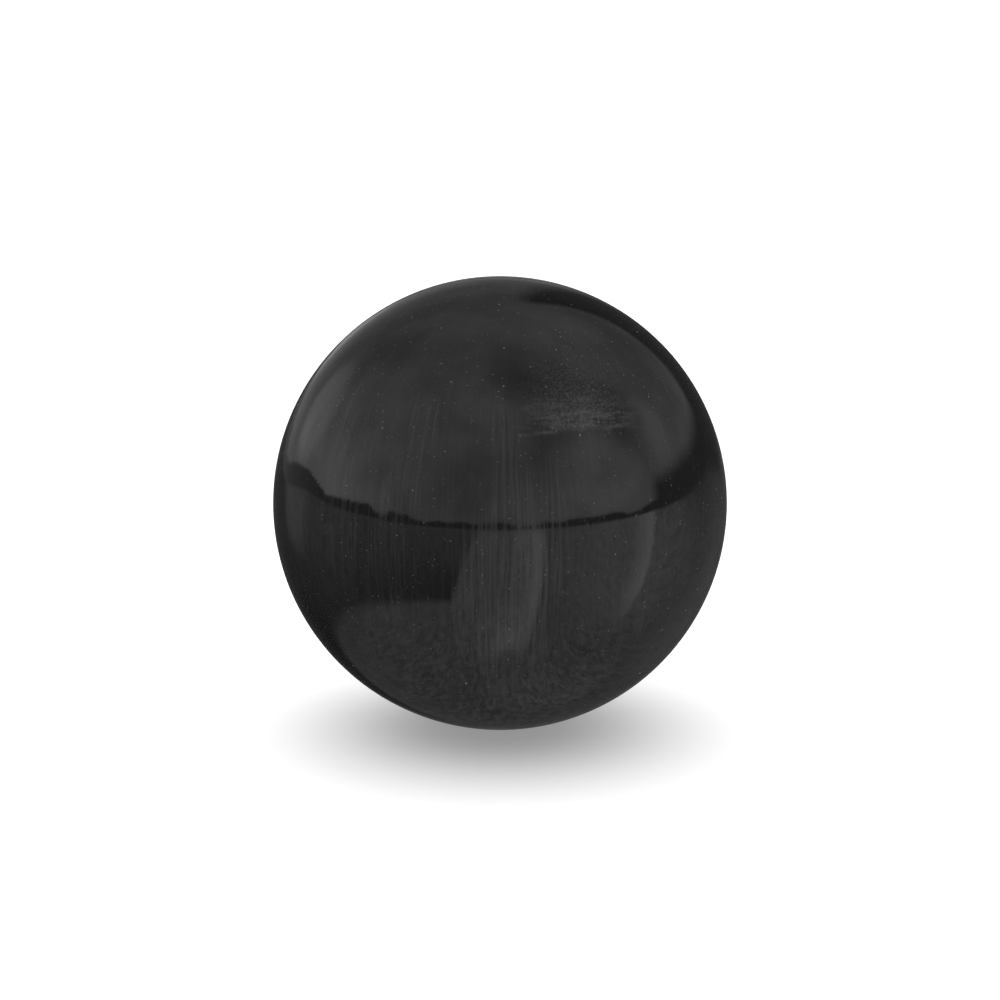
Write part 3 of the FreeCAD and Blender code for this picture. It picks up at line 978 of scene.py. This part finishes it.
def reflected_studio(graph, gaze):
    """What the glossy ball mirrors: the backdrop over the ground, a dark line between and a flag behind."""
    level = graph.sum(gaze.height, graph.product(graph.band(gaze.bearing, *DIP_BEARINGS, DIP_SOFT), DIP))
    above = graph.fade(level, -HORIZON_SOFT, HORIZON_SOFT)
    tone = graph.mix(above, ground(graph, gaze), backdrop(graph, gaze))

    around = graph.join(gaze.right, gaze.ahead, 0.0)
    line_top = graph.product(
        graph.fade(graph.noise(around, LINE_BUMPS, detail=2.0), *LINE_NOISE_RANGE, *LINE_TOPS),
        graph.mix(graph.band(gaze.bearing, *THICK_BEARINGS, THICK_SOFT), 1.0, THICKENING),
    )
    under_top = graph.fade(graph.less(level, line_top), LINE_TOP_SOFT, -LINE_TOP_SOFT)
    line = graph.product(graph.fade(level, *LINE_FOOT_FADE), under_top)
    tone = graph.mix(line, tone, DARK)

    flag_top = graph.fade(gaze.bearing, *SIDE_FLAG_TOP_FADE, *SIDE_FLAG_TOPS)
    flag_foot = graph.fade(gaze.bearing, *SIDE_FLAG_FOOT_FADE, *SIDE_FLAG_FEET)
    flag = graph.product(
        graph.band(gaze.bearing, *SIDE_FLAG_BEARINGS, SIDE_FLAG_SOFT),
        graph.fade(graph.less(gaze.height, flag_top), *SIDE_FLAG_ABOVE_FADE),
        graph.fade(graph.less(gaze.height, flag_foot), *SIDE_FLAG_BELOW_FADE),
    )
    return graph.mix(flag, tone, graph.fade(gaze.bearing, *SIDE_FLAG_TONE_FADE, *SIDE_FLAG_TONES))


BACKGROUND_TONE = 1.2  # what the camera sees behind the floor
DOME_TONE = 2.49
DOME_FOCUS = 1.36  # how much the light overhead narrows towards its middle
DOME_TILT = math.radians(16.4)  # its middle lies this far ahead of straight up


def studio():
    """A pale backdrop for the camera, a soft light overhead, and the studio that the ball's gloss mirrors."""
    world = bpy.data.worlds.new("studio")
    world.use_nodes = True
    bpy.context.scene.world = world
    graph = Graph(world.node_tree)
    gaze = studio_gaze(graph)
    dome_middle = (0.0, math.sin(DOME_TILT), math.cos(DOME_TILT))
    facing = graph.most(graph.vector("DOT_PRODUCT", gaze.direction, dome_middle), 0.0)
    overhead = graph.product(graph.math("POWER", facing, DOME_FOCUS), DOME_TONE)
    path = graph.node("LightPath")
    tone = graph.mix(path.outputs["Is Glossy Ray"], overhead, reflected_studio(graph, gaze))
    tone = graph.mix(path.outputs["Is Camera Ray"], tone, BACKGROUND_TONE)
    color = graph.node("CombineColor", {0: tone, 1: tone, 2: tone}).outputs[0]
    background = graph.node("Background", {"Color": color})
    graph.node("OutputWorld", {"Surface": background.outputs[0]})


FLOOR_REACH = 60 * BALL_RADIUS
FLOOR_CELLS = 8
FLOOR_TONE = 0.8
FLOOR_GLOW = 0.275


def pale_floor():
    """A pale floor at the ball's foot. The ball's gloss doesn't mirror it, because it mirrors the studio."""
    mesh = bmesh.new()
    bmesh.ops.create_grid(mesh, x_segments=FLOOR_CELLS, y_segments=FLOOR_CELLS, size=FLOOR_REACH)
    data = bpy.data.meshes.new("floor")
    mesh.to_mesh(data)
    mesh.free()
    material, graph = new_material("pale_floor")
    glow = graph.node("Emission", {"Color": (FLOOR_GLOW, FLOOR_GLOW, FLOOR_GLOW, 1.0)}).outputs[0]
    diffuse = graph.node("BsdfDiffuse", {"Color": (FLOOR_TONE, FLOOR_TONE, FLOOR_TONE, 1.0)}).outputs[0]
    both = graph.node("AddShader", {0: glow, 1: diffuse}).outputs[0]
    graph.node("OutputMaterial", {"Surface": both})
    data.materials.append(material)
    floor = bpy.data.objects.new("floor", data)
    floor.location.z = cad_box[0].z
    floor.visible_glossy = False
    bpy.context.scene.collection.objects.link(floor)


CAMERA_ELEVATION = math.radians(12)
BALL_SHARE = 0.4542  # how much of the frame's width the ball takes
LENS = 85  # the focal length, in millimetres
SHIFT = 0.0031  # how far the frame is moved up, as a share of its width
CLIP_FACTOR = 100


def camera():
    """Looks at the ball from the front and a little above."""
    data = bpy.data.cameras.new("camera")
    data.lens = LENS
    data.shift_y = SHIFT
    half_frame = data.sensor_width / 2 / data.lens
    distance = BALL_RADIUS / math.sin(math.atan(BALL_SHARE * half_frame))
    backward = Vector((0.0, -math.cos(CAMERA_ELEVATION), math.sin(CAMERA_ELEVATION)))
    shot = bpy.data.objects.new("camera", data)
    shot.location = (cad_box[0] + cad_box[1]) / 2 + backward * distance
    shot.rotation_euler = (-backward).to_track_quat("-Z", "Y").to_euler()
    data.clip_start = distance / CLIP_FACTOR
    data.clip_end = distance * CLIP_FACTOR
    bpy.context.scene.collection.objects.link(shot)
    bpy.context.scene.camera = shot


ball_rubber, plug_rubber, cement = tacky_rubber(), valve_rubber(), rubber_cement()
front_shell(ball_rubber)
rear_shell(ball_rubber)
seam_bond(cement)
valve_body(plug_rubber)
valve_bond(cement)
valve_plug(plug_rubber)
studio()
pale_floor()
camera()
bpy.context.scene.view_settings.view_transform = "Standard"
